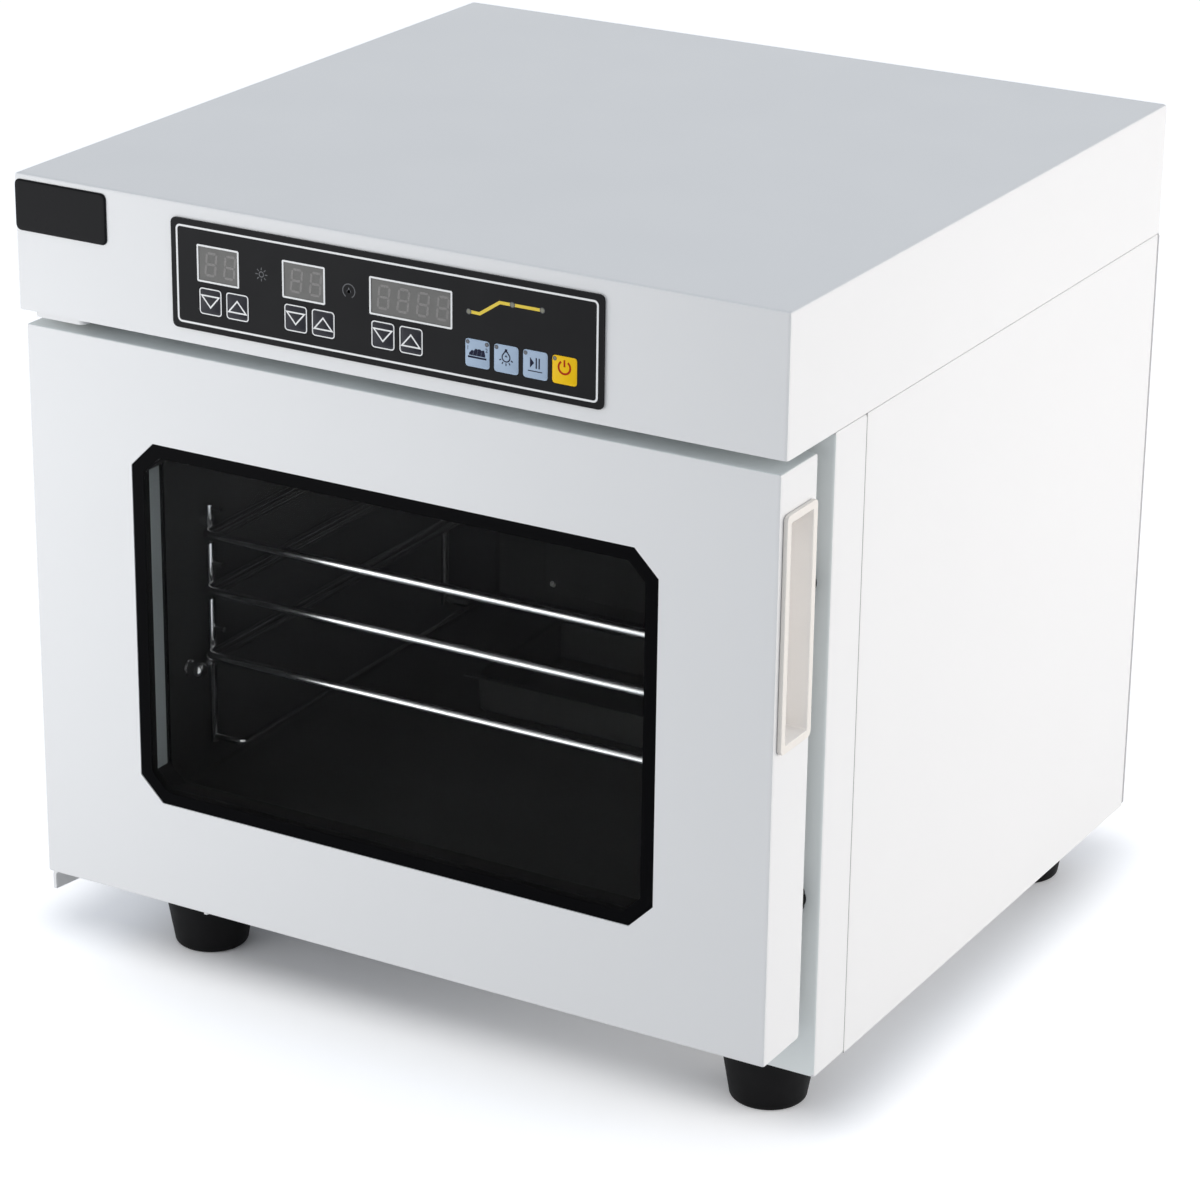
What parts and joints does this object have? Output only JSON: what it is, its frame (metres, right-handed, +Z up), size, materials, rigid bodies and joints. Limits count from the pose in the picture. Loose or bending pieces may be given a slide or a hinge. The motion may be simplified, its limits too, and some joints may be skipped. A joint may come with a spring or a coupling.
{
  "type": "proofing cabinet",
  "caption": "Countertop dough proofing cabinet: heated, humid chamber with a glazed side-hung door, tray frames on ladder racks and a control hood above.",
  "frame": {"origin": "on the table, under the middle of the cabinet", "axes": "+Z up, -Y towards the user at the front, +X to the user's right"},
  "size_m": [0.47, 0.4726, 0.484],
  "materials": {
    "white_enamel": "smooth white enamel",
    "galvanised_steel": "galvanised sheet",
    "stainless_steel": "satin stainless sheet",
    "bright_rod": "bright plated rod",
    "dark_enamel": "dark enamel",
    "black_film": "smooth black film",
    "display_face": "smoked face",
    "dark_key": "satin black",
    "blue_key": "satin pale blue",
    "yellow_key": "satin yellow",
    "circuit_board": "green board",
    "black_plastic": "satin black",
    "cream_plastic": "satin cream",
    "nylon": "plain",
    "silicone": "soft grey",
    "foot_rubber": "matt black",
    "mineral_wool": "loose wool",
    "tinted_glass": "tinted and clear",
    "clear_glass": "clear"
  },
  "bodies": {
    "cabinet": {"hood_cover": "white_enamel", "control_fascia": "black_film", "temperature_display": "display_face", "humidity_display": "display_face", "timer_display": "display_face", "control_board": "circuit_board", "power_board": "circuit_board", "top_deck": "galvanised_steel", "front_frame": "white_enamel", "side_panel_left": "white_enamel", "side_panel_right": "white_enamel", "base_pan": "galvanised_steel", "back_panel": "white_enamel", "power_inlet": "black_plastic", "foot_front_left": "foot_rubber", "foot_front_right": "foot_rubber", "foot_back_left": "foot_rubber", "foot_back_right": "foot_rubber", "chamber_liner": "dark_enamel", "insulation_wrap": "mineral_wool", "rack_left": "bright_rod", "rack_right": "bright_rod", "fan_motor": "galvanised_steel", "heating_element": "stainless_steel", "air_baffle": "dark_enamel", "lamp_holder": "stainless_steel", "lamp_lens": "clear_glass", "sensor_probe": "stainless_steel", "upper_hinge_plate": "white_enamel", "upper_hinge_pin": "stainless_steel", "lower_hinge_bracket": "white_enamel", "lower_hinge_pin": "stainless_steel", "catch_upper": "black_plastic", "catch_lower": "black_plastic"},
    "door": {"door_shell": "white_enamel", "window_glass": "tinted_glass", "window_retainer": "black_plastic", "door_inner_panel": "white_enamel", "inner_glass": "clear_glass", "door_gasket": "silicone", "pull_cup": "cream_plastic", "upper_bush": "nylon", "lower_bush": "nylon"},
    "shelf_top": {"shelf_top": "bright_rod"},
    "shelf_middle": {"shelf_middle": "bright_rod"},
    "shelf_bottom": {"shelf_bottom": "bright_rod"},
    "water_pan": {"water_pan": "dark_enamel"},
    "fan": {"fan_impeller": "galvanised_steel"},
    "temperature_down_key": {"temperature_down_key": "dark_key"},
    "temperature_up_key": {"temperature_up_key": "dark_key"},
    "humidity_down_key": {"humidity_down_key": "dark_key"},
    "humidity_up_key": {"humidity_up_key": "dark_key"},
    "time_down_key": {"time_down_key": "dark_key"},
    "time_up_key": {"time_up_key": "dark_key"},
    "ferment_key": {"ferment_key": "blue_key"},
    "lighting_key": {"lighting_key": "blue_key"},
    "start_pause_key": {"start_pause_key": "blue_key"},
    "power_key": {"power_key": "yellow_key"}
  },
  "joints": [
    {"name": "door_hinge", "type": "hinge", "parent": "cabinet", "child": "door", "pos_m": [-0.211, -0.213, 0.0712], "axis": [0, 0, -1], "range_deg": [0, 120]},
    {"name": "shelf_top_slide", "type": "slide", "parent": "cabinet", "child": "shelf_top", "axis": [0, -1, 0], "range_m": [0, 0.035]},
    {"name": "shelf_middle_slide", "type": "slide", "parent": "cabinet", "child": "shelf_middle", "axis": [0, -1, 0], "range_m": [0, 0.035]},
    {"name": "shelf_bottom_slide", "type": "slide", "parent": "cabinet", "child": "shelf_bottom", "axis": [0, -1, 0], "range_m": [0, 0.035]},
    {"name": "water_pan_slide", "type": "slide", "parent": "cabinet", "child": "water_pan", "axis": [0, -1, 0], "range_m": [0, 0.15]},
    {"name": "fan_spin", "type": "hinge", "parent": "cabinet", "child": "fan", "pos_m": [0, 0.189, 0.245], "axis": [0, -1, 0], "continuous": true},
    {"name": "temperature_down_key_press", "type": "slide", "parent": "cabinet", "child": "temperature_down_key", "axis": [0, 1, 0], "range_m": [0, 0.0004], "stiffness_N_per_m": 5000},
    {"name": "temperature_up_key_press", "type": "slide", "parent": "cabinet", "child": "temperature_up_key", "axis": [0, 1, 0], "range_m": [0, 0.0004], "stiffness_N_per_m": 5000},
    {"name": "humidity_down_key_press", "type": "slide", "parent": "cabinet", "child": "humidity_down_key", "axis": [0, 1, 0], "range_m": [0, 0.0004], "stiffness_N_per_m": 5000},
    {"name": "humidity_up_key_press", "type": "slide", "parent": "cabinet", "child": "humidity_up_key", "axis": [0, 1, 0], "range_m": [0, 0.0004], "stiffness_N_per_m": 5000},
    {"name": "time_down_key_press", "type": "slide", "parent": "cabinet", "child": "time_down_key", "axis": [0, 1, 0], "range_m": [0, 0.0004], "stiffness_N_per_m": 5000},
    {"name": "time_up_key_press", "type": "slide", "parent": "cabinet", "child": "time_up_key", "axis": [0, 1, 0], "range_m": [0, 0.0004], "stiffness_N_per_m": 5000},
    {"name": "ferment_key_press", "type": "slide", "parent": "cabinet", "child": "ferment_key", "axis": [0, 1, 0], "range_m": [0, 0.0004], "stiffness_N_per_m": 5000},
    {"name": "lighting_key_press", "type": "slide", "parent": "cabinet", "child": "lighting_key", "axis": [0, 1, 0], "range_m": [0, 0.0004], "stiffness_N_per_m": 5000},
    {"name": "start_pause_key_press", "type": "slide", "parent": "cabinet", "child": "start_pause_key", "axis": [0, 1, 0], "range_m": [0, 0.0004], "stiffness_N_per_m": 5000},
    {"name": "power_key_press", "type": "slide", "parent": "cabinet", "child": "power_key", "axis": [0, 1, 0], "range_m": [0, 0.0004], "stiffness_N_per_m": 5000}
  ]
}
